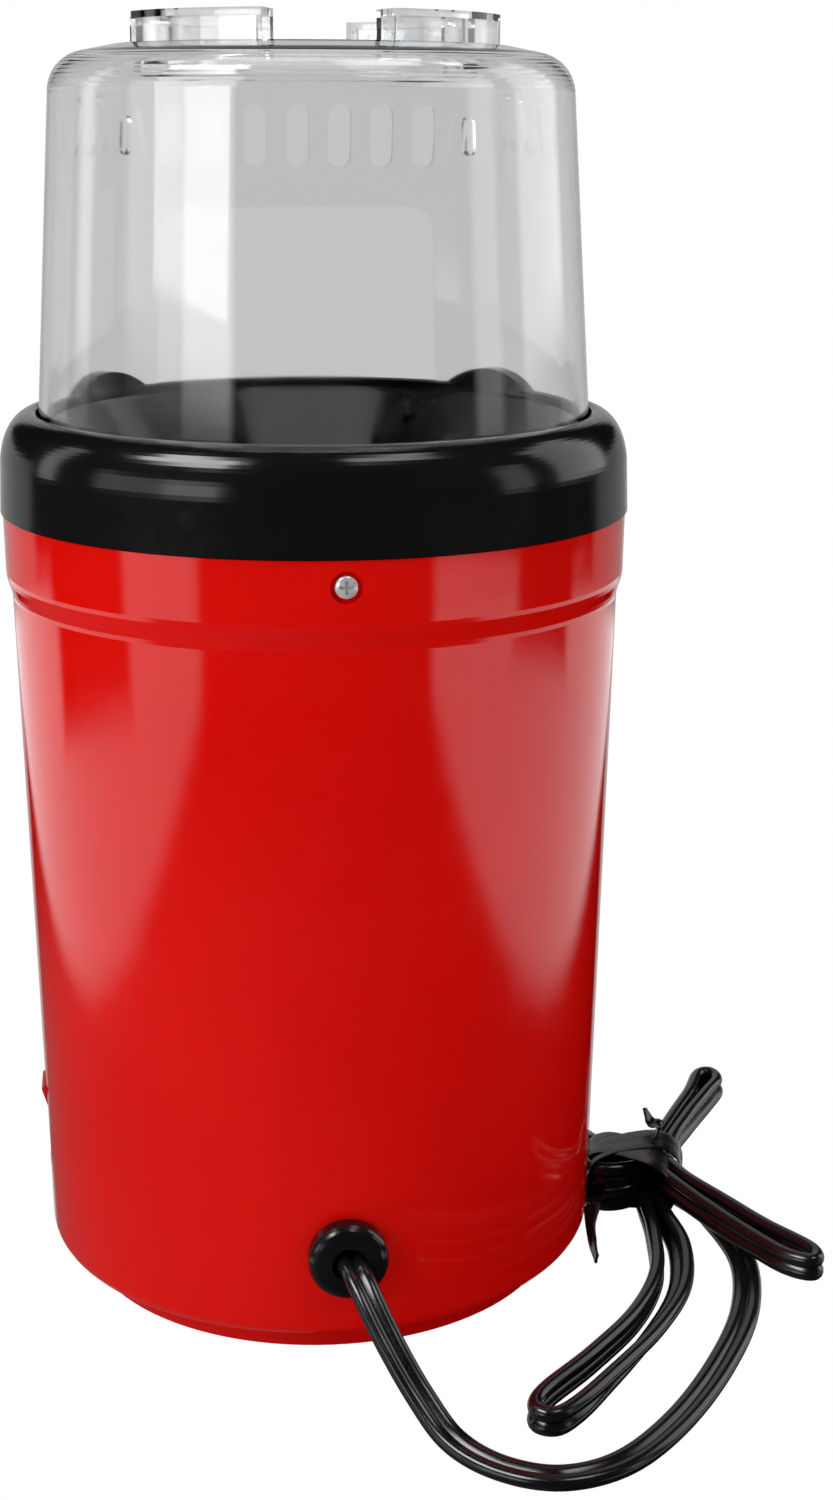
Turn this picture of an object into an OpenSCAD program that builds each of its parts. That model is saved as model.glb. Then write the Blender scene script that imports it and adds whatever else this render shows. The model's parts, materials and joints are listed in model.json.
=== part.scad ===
// Hot-air popcorn maker: tapered shell, collar, clear lid, popping chamber, heater, fan and cord.
// Millimetres, +Z up. The mouth faces -Y, the cord leaves at +Y and the switch is on +X.
// The origin is at the middle of the surface that the feet stand on.

/* [Body] */
// Height of the shell's upper edge above the surface
body_h = 188; // [186:1:192]
// Outer radius of the upper band
band_r = 71.8; // [71.5:0.1:72]
// Outer radius of the tapered wall under the band
body_r_top = 70.3; // [69.8:0.1:70.6]
// Outer radius of the tapered wall at its lower edge
body_r_bottom = 66.9; // [66:0.1:68]
// Outer radius of the recessed base ring
ring_r = 58.8; // [58.5:0.1:60]
// Wall thickness of the shell
body_wall = 2.2; // [2:0.1:2.3]
// Gap between the base ring and the surface
foot_gap = 2.5; // [2:0.5:3]

/* [Collar] */
// Outer radius of the collar
collar_r = 72.3; // [72.3:0.1:73]
// Height of the collar above the shell
collar_h = 22.2; // [21:0.2:23]
// Height of the two ears above the collar
ear_h = 4; // [3:0.5:5]
// Angle from the front to the middle of each ear
ear_angle = 48.5; // [47:0.5:50]

/* [Lid] */
// Outer radius of the lid at its rim
lid_r = 63.1; // [62.8:0.1:63.2]
// Outer radius of the lid under its shoulder
lid_r_top = 58.3; // [58:0.1:59]
// Height of the lid without its feet
lid_h = 83; // [80:1:86]
// Wall thickness of the lid
lid_wall = 1.8; // [1.6:0.1:1.9]
// Half the width of the mouth at its upper edge
mouth_half = 34; // [30:1:34.5]
// Height of the mouth above the lid's rim
mouth_h = 46.8; // [42:0.2:48]
// Number of vent slots above the mouth
vent_count = 7; // [3:2:7]
// Height of the feet on the lid's top
lid_foot_h = 6.4; // [5:0.2:7]

/* [Popping chamber] */
// Outer radius of the popping chamber
chamber_r = 43.5; // [42:0.5:44]
// Depth of the popping chamber
chamber_depth = 70; // [66:1:72]
// Number of air louvres round the chamber
louvre_count = 24; // [16:2:28]

/* [Air and heat] */
// Inner radius of the air duct
duct_r = 53; // [52:0.5:53]
// Number of turns of the heating coil
coil_turns = 4; // [3:1:4]

/* [Motor and fan] */
// Outer radius of the motor
motor_r = 14; // [13:0.5:15]
// Radius of the motor shaft
shaft_r = 1.15; // [1:0.05:1.2]
// Outer radius of the fan
fan_r = 38; // [34:1:42]
// Number of fan blades
blade_count = 9; // [7:1:11]

/* [Switch] */
// Height of the switch's middle above the surface
switch_z = 39.5; // [38:0.5:44]
// Angle that the rocker turns through
rocker_swing = 14; // [10:1:16]

/* [Cord] */
// Width of the flat cord
cord_w = 6.6; // [6:0.1:6.8]
// Thickness of the flat cord
cord_t = 3.4; // [3:0.1:3.6]

/* [Hidden] */
$fn = 96;
fine = 32;
eps = 0.01;

// Heights on the body
z_edge = 12.8;
z_step_low = 168.5;
z_step_top = 174.5;
edge_r = 4;
ledge_z = 7;
ledge_r = 52.5;
base_bore_r = ring_r - 2.4;
screw_z = body_h - 5.6;

// Collar
z_collar = body_h + 0.3;
z_collar_top = z_collar + collar_h;
shoulder_h = 12;
shoulder_r = 64.5;
z_lid = z_collar_top - 3.8;
neck_r = 47;
z_lip = body_h - 1.1;
skirt_r = 69.3;

// Lid
lid_corner = 9;
z_lid_top = z_lid + lid_h;
z_mouth = z_lid + mouth_h;
facet_y = 48.6;
facet_lean = 0.2;
vent_pitch = 10.3;
vent_w = 5.6;
vent_low = z_mouth + 9.4;
vent_high = z_mouth + 24.3;
lid_foot_r = 42;
lid_foot_w = 9;

// Chamber, duct and heater
z_chamber_top = z_lip - 0.1;
z_chamber = z_chamber_top - chamber_depth;
sheet = 0.8;
z_duct = 74;
z_duct_top = z_chamber_top - sheet;
duct_screw_r = 58;
z_boards = 80;
board_h = 30;
board_t = 0.9;
coil_r = 41;
coil_wire = 1.6;
coil_rise = 6;

// Motor and fan
z_motor = 17;
z_motor_top = 50;
z_housing = 50.2;
shaft_gap = 0.05;
z_fan = 56;
fan_h = 12;

// Switch
pocket_x = 66;
pivot_x = 62.5;
rocker_r = 9.2;
rocker_w = 10.4;

// Grommet and cord
exit_z = 30;
grommet_r = 9;
wall_y = 67.2;
clamp_y = 50;
clamp_z = exit_z - cord_t / 2;

// Route of the cord from inside the shell to its bundle, resting on the surface
lead_points = [
    [0, 49, 30], [0, 66, 30], [-2, 76, 28], [-7, 86, 19], [-13, 95, 10], [-19, 103, 4], [-28, 111, 2],
    [-40, 116, 2], [-54, 112, 2], [-69, 98, 2], [-84, 77, 2], [-96, 54, 2], [-102, 30, 2],
    [-98, 8, 3], [-91, -6, 4]];
// Route from the bundle to the plug, close behind the body
tail_points = [
    [-83, -22, 8], [-78, -38, 4], [-73, -54, 2], [-68, -68, 2], [-62, -81, 3], [-56, -90, 6], [-48, -94, 8]];
// Middle lines of the bundle's folds on the surface: the long, upper, side and short ones
long_fold = [[-86, -6], [-84, 24], [-76, 48], [-58, 73], [-42, 93]];
upper_fold = [[-88, -12], [-100, -40], [-116, -69]];
side_fold = [[-91, -2], [-102, 20], [-114, 39]];
short_fold = [[-86, -9], [-77, -9]];
tie_at = [-87, -11];
plug_at = [-30, -94, 8];

// ---- Helpers ----

// Points on an arc, from angle a0 to a1
function arc(cx, cy, rx, ry, a0, a1, n) =
    [for (i = [0:n]) let (a = a0 + (a1 - a0) * i / n) [cx + rx * cos(a), cy + ry * sin(a)]];

// Outer radius of the tapered wall at height z
function wall_r(z) = body_r_bottom + (body_r_top - body_r_bottom) * (z - z_edge) / (z_step_low - z_edge);

function unit(v) = v / norm(v);

// A point on the smooth curve through four neighbouring points
function curve_point(a, b, c, d, t) =
    0.5 * (2 * b + (c - a) * t + (2 * a - 5 * b + 4 * c - d) * t * t + (3 * b - a - 3 * c + d) * t * t * t);

// A smooth curve through all the points, with n steps between each pair
function smooth(p, n) = concat(
    [for (i = [0:len(p) - 2], k = [0:n - 1])
        curve_point(p[max(i - 1, 0)], p[i], p[i + 1], p[min(i + 2, len(p) - 1)], k / n)],
    [p[len(p) - 1]]);

function direction(p, i) = unit(p[min(i + 1, len(p) - 1)] - p[max(i - 1, 0)]);

// A solid tube along the points p, w wide and t thick, with its broad side across the direction thick
module tube(p, w, t, sides, thick = [0, 0, 1]) {
    rings = [for (i = [0:len(p) - 1])
        let (d = direction(p, i), side = unit(cross(thick, d)), up = cross(d, side))
        for (k = [0:sides - 1])
            let (a = 360 * (k + 0.5) / sides) p[i] + side * w / 2 * cos(a) + up * t / 2 * sin(a)];
    n = len(p);
    faces = concat(
        [for (i = [0:n - 2], k = [0:sides - 1])
            let (a = i * sides + k, b = i * sides + (k + 1) % sides) [a, b, b + sides, a + sides]],
        [[for (k = [sides - 1:-1:0]) k]],
        [[for (k = [0:sides - 1]) (n - 1) * sides + k]]);
    polyhedron(points = rings, faces = [for (f = faces) [for (k = [len(f) - 1:-1:0]) f[k]]], convexity = 6);
}

// A lathe-turned shape with its outline in (radius, height)
module turned(outline) { rotate_extrude() polygon(outline); }

// Copies the children to the given angles about Z
module around(angles) { for (a = angles) rotate([0, 0, a]) children(); }

// Lays the children, drawn pointing up, along +Y at height z, starting at distance y
module facing_back(y, z) { translate([0, y, z]) rotate([-90, 0, 0]) children(); }

// A pan-head screw with a cross recess: the head's underside is at z = 0 and the shank points down
module screw(head_r, head_h, shank_r, length) {
    difference() {
        union() {
            turned(concat([[0, 0], [head_r, 0], [head_r, head_h * 0.35]],
                arc(0, head_h * 0.35, head_r, head_h * 0.65, 12, 90, 5)));
            translate([0, 0, -length]) cylinder(r = shank_r, h = length + eps, $fn = fine);
        }
        for (a = [0, 90])
            rotate([0, 0, a]) translate([-head_r * 0.6, -head_r * 0.13, head_h * 0.45])
                cube([head_r * 1.2, head_r * 0.26, head_h]);
    }
}

// Outline of a flat ribbon of width w along the points p, with round ends
function ribbon(p, w) =
    let (n = len(p), d = [for (i = [0:n - 1]) direction(p, i)],
        half = w / 2, first = atan2(d[0].y, d[0].x), last = atan2(d[n - 1].y, d[n - 1].x))
    concat(
        arc(p[0].x, p[0].y, half, half, first + 270, first + 90, 9),
        n < 3 ? [] : [for (i = [1:n - 2]) p[i] + half * [-d[i].y, d[i].x]],
        arc(p[n - 1].x, p[n - 1].y, half, half, last + 90, last - 90, 9),
        n < 3 ? [] : [for (i = [n - 2:-1:1]) p[i] - half * [-d[i].y, d[i].x]]);

// ---- Shell and collar ----

back = [90, 210, 330];
arms = [30, 150, 270];
quarter = [0, 90, 180, 270];
diagonal = [45, 135, 225, 315];
base_screw_r = 50.5;

function body_outline() = concat(
    [[ring_r - 0.6, foot_gap], [ring_r, z_edge - edge_r - 0.3]],
    arc(body_r_bottom - edge_r, z_edge, edge_r, edge_r, -90, 0, 6),
    [for (i = [0:6]) let (t = i / 6)
        [body_r_top + (band_r - 0.2 - body_r_top) * (1 - cos(180 * t)) / 2,
         z_step_low + (z_step_top - z_step_low) * t]],
    [[band_r, body_h], [band_r - body_wall, body_h], [band_r - 0.2 - body_wall, z_step_top],
     [body_r_top - body_wall, z_step_low]],
    [[body_r_bottom - body_wall, z_edge + 1.4], [body_r_bottom - 5.4, z_edge - 1.8],
     [ledge_r, ledge_z + 2.2], [ledge_r, ledge_z], [base_bore_r, ledge_z], [base_bore_r, foot_gap]]);

// The flat-bottomed pocket for the switch, with half sizes y and z
module pocket(depth_x, half_y, half_z) {
    translate([depth_x, -half_y, switch_z - half_z]) cube([20, 2 * half_y, 2 * half_z]);
}

module body_shell() {
    color([0.80, 0.02, 0.02]) difference() {
        union() {
            turned(body_outline());
            around(quarter) translate([base_screw_r, 0, ledge_z]) cylinder(r = 3.6, h = 17, $fn = fine);
            difference() {
                translate([-12.4, clamp_y, clamp_z - 6]) cube([24.8, 15, 6]);
                translate([-8.5, clamp_y + 7.5, clamp_z - 7]) cube([17, 9, 8]);
                for (s = [-1, 1]) translate([s * 9, clamp_y + 3.5, clamp_z - 7])
                    cylinder(r = 1.25, h = 8, $fn = fine);
            }
            intersection() {
                translate([pocket_x - 3, -12, switch_z - 16]) cube([6, 24, 32]);
                translate([0, 0, z_edge]) cylinder(r1 = body_r_bottom - 1, r2 = wall_r(80) - 1, h = 67.2);
            }
        }
        around(quarter) translate([base_screw_r, 0, ledge_z - 1]) cylinder(r = 1.25, h = 15, $fn = fine);
        around(back) translate([0, 0, screw_z]) rotate([0, 90, 0]) {
            cylinder(r = 1.6, h = 80, $fn = fine);
            translate([0, 0, band_r - 1.2]) cylinder(r = 3.4, h = 4, $fn = fine);
        }
        facing_back(50, exit_z) cylinder(r = 6.5, h = 30);
        pocket(pocket_x, 8.2, 12);
        pocket(50, 6.6, 9.8);
    }
}

function collar_outline() = concat(
    [[collar_r, z_collar]],
    arc(shoulder_r, z_collar_top - shoulder_h, collar_r - 0.4 - shoulder_r, shoulder_h, 0, 90, 18),
    [[lid_r + 0.5, z_collar_top - 0.4], [lid_r + 0.5, z_lid - 0.2], [lid_r - 2.3, z_lid - 0.2],
     [lid_r - 2.3, z_lid + 1.4], [lid_r - 2.9, z_lid + 1.8], [lid_r - 3.5, z_lid + 0.9],
     [neck_r + 1.5, z_lip + 5.6], [neck_r, z_lip + 3.6], [neck_r, z_lip], [neck_r + 2.5, z_lip],
     [neck_r + 2.6, z_lip + 3.2], [lid_r - 2.5, z_lid - 2.5], [lid_r + 1, z_lid - 2.5],
     [skirt_r - 2, z_lid - 6], [skirt_r - 2, body_h - 14], [skirt_r, body_h - 14], [skirt_r, z_collar]]);

// One ear: a stretch of ring, rounded over its length by a lying cylinder
module ear(angle) {
    half = 13.7;
    r = (half * half + pow(ear_h + 0.8, 2)) / (2 * (ear_h + 0.8));
    rotate([0, 0, angle]) intersection() {
        translate([0, 0, z_collar_top - 5]) difference() {
            cylinder(r = shoulder_r + 4.4, h = 12);
            translate([0, 0, -1]) cylinder(r = lid_r + 1.3, h = 14);
        }
        translate([0, 0, z_collar_top + ear_h - r]) rotate([0, 90, 0]) cylinder(r = r, h = 90);
        translate([50, -half, z_collar_top - 5]) cube([30, 2 * half, 14]);
    }
}

module collar() {
    color([0.03, 0.03, 0.035]) difference() {
        union() {
            turned(collar_outline());
            ear(-90 + ear_angle);
            ear(-90 - ear_angle);
            around(back + [30, 30, 30]) translate([duct_screw_r, 0, z_duct_top + 0.05]) difference() {
                cylinder(r = 3.4, h = z_lid - z_duct_top - 4, $fn = fine);
                translate([0, 0, -1]) cylinder(r = 1.25, h = 13, $fn = fine);
            }
        }
        around(back) translate([0, 0, screw_z]) rotate([0, 90, 0]) cylinder(r = 1.5, h = 80, $fn = fine);
    }
}

module collar_screws() {
    color("silver") around(back) translate([band_r - 1.1, 0, screw_z]) rotate([0, 90, 0])
        screw(2.4, 1.3, 1.45, 7);
}

// ---- Lid ----

function lid_outline(inset) = concat(
    [[0, z_lid - 1]],
    [[lid_r - inset + 0.06, z_lid - 1]],
    arc(lid_r_top - lid_corner, z_lid_top - 1.2 - lid_corner,
        lid_corner - inset, lid_corner - inset, 0, 80, 12),
    [[lid_foot_r + 2, z_lid_top - inset], [0, z_lid_top + 0.6 - inset]]);

// The half space behind the lid's leaning front face
module behind_facet(inset) {
    h = 60;
    translate([0, 0, z_mouth]) rotate([90, 0, 90]) translate([0, 0, -80]) linear_extrude(160)
        polygon([[80, -h], [inset - facet_y - 40, -h], [inset - facet_y - 40, 0], [inset - facet_y, 0],
            [inset - facet_y + facet_lean * h, h], [80, h]]);
}

module lid_body(inset) {
    intersection() {
        turned(lid_outline(inset));
        behind_facet(inset);
    }
}

// A stretch of ring between two radii, half_angle to each side of the given angle
module ring_part(angle, half_angle, r_in, r_out, z, h) {
    rotate([0, 0, angle - half_angle]) rotate_extrude(angle = 2 * half_angle)
        translate([r_in, z]) square([r_out - r_in, h]);
}

// A slot along Y with round ends
module slot(w, z_low, z_high, depth) {
    rotate([90, 0, 0]) linear_extrude(depth) {
        translate([-w / 2, z_low + w / 2]) square([w, z_high - z_low - w]);
        for (z = [z_low + w / 2, z_high - w / 2]) translate([0, z]) circle(d = w, $fn = fine);
    }
}

module lid() {
    wide = mouth_half + 1.6;
    round_r = 5;
    color([0.92, 0.94, 0.95, 0.35]) difference() {
        union() {
            lid_body(0);
            around(diagonal)
                ring_part(0, 26, lid_foot_r - lid_foot_w, lid_foot_r, z_lid_top - 1, lid_foot_h + 1);
        }
        lid_body(lid_wall);
        around(diagonal) ring_part(0, 24, lid_foot_r - lid_foot_w + 1.4, lid_foot_r - 1.4,
            z_lid_top - 3, lid_foot_h + 1.6);
        translate([-80, -80, z_lid - 10]) cube([160, 160, 10]);
        translate([0, -30, 0]) rotate([90, 0, 0]) linear_extrude(60) {
            polygon([[-wide, z_lid - 5], [wide, z_lid - 5], [mouth_half, z_mouth - round_r],
                [mouth_half - round_r, z_mouth],
                    [round_r - mouth_half, z_mouth], [-mouth_half, z_mouth - round_r]]);
            for (s = [-1, 1]) translate([s * (mouth_half - round_r), z_mouth - round_r]) circle(r = round_r);
        }
        for (i = [0:vent_count - 1])
            translate([(i - (vent_count - 1) / 2) * vent_pitch, -32, 0])
                slot(vent_w, vent_low, vent_high, 40);
        for (s = [-1, 1])
            rotate([0, 0, s * 46.5]) translate([0, -50, 0]) slot(3.4, vent_low + 3, vent_low + 12, 20);
    }
}

// ---- Popping chamber, duct and heater ----

module popping_chamber() {
    corner = 5;
    outer = concat([[0, z_chamber + 1.5]], arc(chamber_r - corner, z_chamber + corner,
        corner, corner, -90, 0, 5),
        [[chamber_r, z_chamber_top - sheet], [duct_r - 0.5, z_chamber_top - sheet],
            [duct_r - 0.5, z_chamber_top],
         [chamber_r - sheet, z_chamber_top]]);
    inner = concat(
        arc(chamber_r - corner, z_chamber + corner, corner - sheet, corner - sheet, 0, -90, 5),
        [[0, z_chamber + 1.5 + sheet]]);
    slant = 22;
    color([0.82, 0.83, 0.85]) union() {
        difference() {
            turned(concat(outer, inner));
            for (i = [0:louvre_count - 1])
                rotate([0, 0, 360 * i / louvre_count]) translate([chamber_r - 3, 0, z_chamber + 13])
                    rotate([slant, 0, 0]) translate([0, -0.9, -6]) cube([6, 1.8, 12]);
        }
        for (i = [0:louvre_count - 1])
            rotate([0, 0, 360 * i / louvre_count]) translate([chamber_r - 0.4, 0, z_chamber + 13])
                rotate([slant, 0, 0]) translate([-1.9, 0.9, -6]) cube([1.9, 0.5, 12]);
    }
}

module air_duct() {
    outline = [[duct_r, z_duct], [duct_r + sheet, z_duct], [duct_r + sheet, z_duct_top - sheet],
        [duct_screw_r + 4, z_duct_top - sheet], [duct_screw_r + 4, z_duct_top], [chamber_r + 0.9, z_duct_top],
        [chamber_r + 0.9, z_duct_top - sheet], [duct_r, z_duct_top - sheet]];
    color([0.70, 0.71, 0.72]) difference() {
        turned(outline);
        around(back + [30, 30, 30]) translate([duct_screw_r, 0, z_duct_top - 3])
            cylinder(r = 1.3, h = 6, $fn = fine);
        around(arms) translate([0, 0, z_duct + 3]) rotate([0, 90, 0]) cylinder(r = 1.25, h = 80, $fn = fine);
    }
}

module duct_screws() {
    color("silver") around(back + [30, 30, 30]) translate([duct_screw_r, 0, z_duct_top - sheet])
        rotate([180, 0, 0]) screw(2.6, 1.5, 1.2, 8);
}

function coil_z(turns) = z_boards + 3 + coil_rise * turns;

module heater_boards() {
    color([0.78, 0.70, 0.52]) difference() {
        around([0, 90]) {
            translate([-46, -board_t / 2, z_boards]) cube([92, board_t, board_h]);
            translate([0.1 - duct_r, -board_t / 2, z_boards + 8]) cube([2 * duct_r - 0.2, board_t, 12]);
        }
        for (k = [0:4 * coil_turns])
            rotate([0, 0, 90 * k]) translate([coil_r, 3, coil_z(k / 4)]) rotate([90, 0, 0])
                cylinder(r = coil_wire + 0.6, h = 6, $fn = fine);
        around([0, 90]) for (s = [-1, 1]) translate([s * 20, 3, z_boards + board_h / 2]) rotate([90, 0, 0])
            cylinder(r = 5, h = 6, $fn = fine);
    }
}

module heater_coil() {
    steps = 20;
    line = [for (i = [0:steps * coil_turns]) let (a = 360 * i / steps)
        [coil_r * cos(a), coil_r * sin(a), coil_z(i / steps)]];
    color([0.55, 0.53, 0.50]) tube(line, 2 * coil_wire, 2 * coil_wire, 8);
}

// ---- Fan housing, fan and motor ----

module fan_housing() {
    h = z_duct + 6 - z_housing;
    color([0.88, 0.87, 0.83]) difference() {
        union() {
            translate([0, 0, z_housing]) linear_extrude(h) difference() {
                circle(r = duct_r + sheet + 2.3);
                circle(r = duct_r - 1.6);
            }
            translate([0, 0, z_housing]) linear_extrude(2.5) {
                circle(r = motor_r + 3);
                for (a = arms) rotate([0, 0, a]) translate([motor_r - 2, -5])
                    square([duct_r - motor_r + 1, 10]);
            }
        }
        translate([0, 0, z_duct - 0.1]) cylinder(r = duct_r + sheet + 0.1, h = 20);
        translate([0, 0, z_housing - 1]) cylinder(r = 5.3, h = 6, $fn = fine);
        for (s = [-1, 1]) translate([s * 8, 0, z_housing - 1]) cylinder(r = 1.3, h = 6, $fn = fine);
        around(arms) translate([0, 0, z_duct + 3]) rotate([0, 90, 0]) cylinder(r = 1.3, h = 80, $fn = fine);
    }
}

module housing_screws() {
    color("silver") around(arms) translate([duct_r + sheet + 2.4, 0, z_duct + 3]) rotate([0, 90, 0])
        screw(2.3, 1.4, 1.2, 4);
}

module fan_impeller() {
    hub_r = 7;
    color([0.16, 0.16, 0.17]) difference() {
        union() {
            translate([0, 0, z_fan]) cylinder(r = hub_r, h = fan_h);
            translate([0, 0, z_fan]) linear_extrude(1.4) circle(r = fan_r * 0.62);
            for (i = [0:blade_count - 1])
                rotate([0, 0, 360 * i / blade_count]) translate([hub_r - 1, 0, z_fan]) rotate([0, 0, 14])
                    intersection() {
                        translate([0, -0.7, 0]) cube([fan_r - hub_r, 1.4, fan_h]);
                        rotate([90, 0, 0]) translate([0, 0, -2]) linear_extrude(4)
                            polygon([[0, 0], [fan_r - hub_r, 0],
                                [fan_r - hub_r, fan_h * 0.7], [8, fan_h], [0, fan_h]]);
                    }
        }
        translate([0, 0, z_fan - 1]) cylinder(r = shaft_r, h = fan_h + 2, $fn = fine);
    }
}

module fan_nut() {
    color("silver") translate([0, 0, z_fan + fan_h]) difference() {
        cylinder(r = 3, h = 2.4, $fn = 6);
        translate([0, 0, -1]) cylinder(r = shaft_r, h = 5, $fn = fine);
    }
}

module motor_can() {
    color([0.72, 0.73, 0.74]) difference() {
        union() {
            translate([0, 0, z_motor]) cylinder(r = motor_r, h = z_motor_top - z_motor);
            translate([0, 0, z_motor_top - 1]) cylinder(r = 5, h = 3.2, $fn = fine);
        }
        translate([0, 0, z_motor - 1]) cylinder(r = motor_r - 1, h = z_motor_top - z_motor - 0.5);
        translate([0, 0, z_motor]) cylinder(r = 3, h = 60, $fn = fine);
        for (s = [-1, 1]) translate([s * 8, 0, z_motor_top - 3]) cylinder(r = 1.2, h = 6, $fn = fine);
    }
}

module motor_magnets() {
    color([0.30, 0.30, 0.31])
        for (a = [0, 180]) ring_part(a, 65, motor_r - 4, motor_r - 1, z_motor + 6, 22);
}

module motor_end_cap() {
    color([0.92, 0.91, 0.88]) difference() {
        union() {
            translate([0, 0, z_motor - 3]) cylinder(r = motor_r, h = 3);
            translate([0, 0, z_motor - eps]) cylinder(r = motor_r - 1.1, h = 3);
            translate([0, 0, z_motor - 4.4]) cylinder(r = 5, h = 2, $fn = fine);
        }
        translate([0, 0, z_motor - 9]) cylinder(r = 3, h = 20, $fn = fine);
    }
}

module motor_bushes() {
    color([0.72, 0.55, 0.28]) for (z = [z_motor - 4.4, z_motor_top - 1.4]) translate([0, 0, z]) difference() {
        cylinder(r = 3, h = 3.6, $fn = fine);
        translate([0, 0, -1]) cylinder(r = shaft_r + shaft_gap, h = 6, $fn = fine);
    }
}

module motor_screws() {
    color("silver") for (s = [-1, 1]) translate([s * 8, 0, z_housing + 2.5]) screw(2, 1.2, 1.15, 4.6);
}

module motor_shaft() {
    color([0.80, 0.80, 0.82]) translate([0, 0, z_motor - 4]) cylinder(r = shaft_r, h = 60, $fn = fine);
}

module motor_armature() {
    slots = 5;
    color([0.60, 0.34, 0.14]) difference() {
        union() {
            translate([0, 0, z_motor + 8]) cylinder(r = motor_r - 4.6, h = 18);
            translate([0, 0, z_motor + 3.4]) cylinder(r = 3.4, h = 5, $fn = fine);
        }
        translate([0, 0, z_motor]) cylinder(r = shaft_r, h = 40, $fn = fine);
        for (i = [0:slots - 1]) rotate([0, 0, 360 * i / slots]) translate([4.6, -0.8, z_motor + 7])
            cube([8, 1.6, 20]);
    }
}

// ---- Electrical parts ----

board_z = z_motor - 4.65;

module rectifier_board() {
    color([0.16, 0.38, 0.20]) translate([0, 0, board_z]) difference() {
        cylinder(r = 12, h = 1.6);
        translate([0, 0, -1]) cylinder(r = 5.4, h = 4, $fn = fine);
    }
}

module rectifier_diodes() {
    color([0.10, 0.10, 0.10]) for (a = quarter) rotate([0, 0, a + 45]) translate([8.6, -2.2, board_z - 1.35])
        rotate([-90, 0, 0]) cylinder(r = 1.3, h = 4.4, $fn = fine);
}

module thermostat() {
    color([0.80, 0.76, 0.66]) rotate([0, 0, 200])
        translate([duct_r + sheet + 0.1, 0, 150]) rotate([0, 90, 0]) {
        cylinder(r = 7.5, h = 5);
        for (s = [-1, 1]) translate([s * 4 - 0.4, -2.4, 4.9]) cube([0.8, 4.8, 4.6]);
    }
}

module thermal_fuse() {
    color([0.85, 0.85, 0.86]) rotate([0, 0, 160]) translate([duct_r + sheet + 2.1, 0, 132]) {
        cylinder(r = 2, h = 11, $fn = fine);
        for (z = [-5, 10.9]) translate([0, 0, z]) cylinder(r = 0.5, h = 5.1, $fn = fine);
    }
}

module switch_body() {
    color([0.70, 0.03, 0.03]) translate([0, 0, switch_z]) difference() {
        union() {
            translate([50, -6.4, -9.6]) cube([pocket_x - 50, 12.8, 19.2]);
            translate([pocket_x, -7.5, -10.8]) cube([0.7, 15, 21.6]);
        }
        translate([pivot_x, 5.5, 0]) rotate([90, 0, 0]) cylinder(r = rocker_r + 0.3, h = 11);
        translate([pivot_x, -5.5, -rocker_r - 0.3]) cube([10, 11, 2 * rocker_r + 0.6]);
        translate([pivot_x, 8, 0]) rotate([90, 0, 0]) cylinder(r = 1.05, h = 16, $fn = fine);
    }
}

module switch_terminals() {
    color([0.85, 0.68, 0.30]) for (z = [-6, 0, 6]) translate([42, -2.4, switch_z + z - 0.4])
        cube([8, 4.8, 0.8]);
}

// The rocker rests with its upper end raised
module switch_rocker() {
    color([0.75, 0.02, 0.02]) translate([pivot_x, 0, switch_z]) rotate([0, rocker_swing / 2, 0]) {
        rotate([90, 0, 0]) intersection() {
            translate([0, 0, -rocker_w / 2]) cylinder(r = rocker_r, h = rocker_w);
            translate([0, 0, -rocker_w / 2]) linear_extrude(rocker_w)
                polygon([[-3, -2.4], [2, -12], [5.4, -12],
                    [5.1, -7], [3.9, 0], [5.1, 7], [5.4, 12], [2, 12], [-3, 2.4]]);
        }
        rotate([90, 0, 0]) translate([0, 0, -6.2]) cylinder(r = 1, h = 12.4, $fn = fine);
    }
}

module inner_wires() {
    wire = 2.2;
    under_board = board_z - wire / 2 - 0.05;
    routes = [
        [[-1.6, 48.9, 30], [-3, 42, 32], [6, 37, 34], [24, 29, 34], [32, 14, 33], [35, 3, switch_z - 6],
         [41.8, 0, switch_z - 6]],
        [[1.6, 48.9, 30], [8, 45, 28], [22, 42, 27], [36, 34, 27], [40, 20, 30], [38, 8, switch_z - 1],
         [41.8, 0, switch_z]],
        [[41.8, -1, switch_z + 6], [34, -4, 44], [30, -14, 42], [25, -19, 30], [20, -14, 14],
         [15, -8, under_board - 1], [9, -4, under_board]],
        [[-56.5, -23.3, 146], [-55.8, -25.6, 138], [-54.8, -27.2, 110], [-54, -28, 80], [-53, -28, 56],
         [-46, -24, 42], [-28, -14, 20], [-17, -9, under_board - 1.4], [-9, -4, under_board]]];
    color([0.85, 0.82, 0.76]) {
        for (i = [0:2]) tube(smooth(routes[i], 3), wire, wire, 6);
        tube(smooth(routes[3], 3), wire, wire, 6, [0.45, -0.9, 0]);
    }
}

// ---- Base ----

module base_plate() {
    plate_h = ledge_z - foot_gap - 2;
    color([0.05, 0.05, 0.055]) translate([0, 0, foot_gap + 2]) difference() {
        cylinder(r = base_bore_r - 0.2, h = plate_h);
        for (i = [0:23]) rotate([0, 0, 15 * i]) translate([17, -1.3, -1]) cube([18, 2.6, plate_h + 2]);
        around(quarter) translate([base_screw_r, 0, -1]) cylinder(r = 1.4, h = 6, $fn = fine);
        around(diagonal) translate([44, 0, -1]) cylinder(r = 2.1, h = 6, $fn = fine);
    }
}

module base_screws() {
    color("silver") around(quarter) translate([base_screw_r, 0, foot_gap + 1.95]) rotate([180, 0, 0])
        screw(2.6, 1.5, 1.2, 14);
}

module rubber_feet() {
    h = foot_gap + 1.9;
    color([0.12, 0.12, 0.12]) around(diagonal) translate([44, 0, 0]) {
        turned([[0, 0], [5, 0], [5.6, 0.6], [5.9, h], [0, h]]);
        translate([0, 0, h - eps]) cylinder(r = 2, h = 3.4, $fn = fine);
    }
}

// ---- Grommet, cord and plug ----

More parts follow.
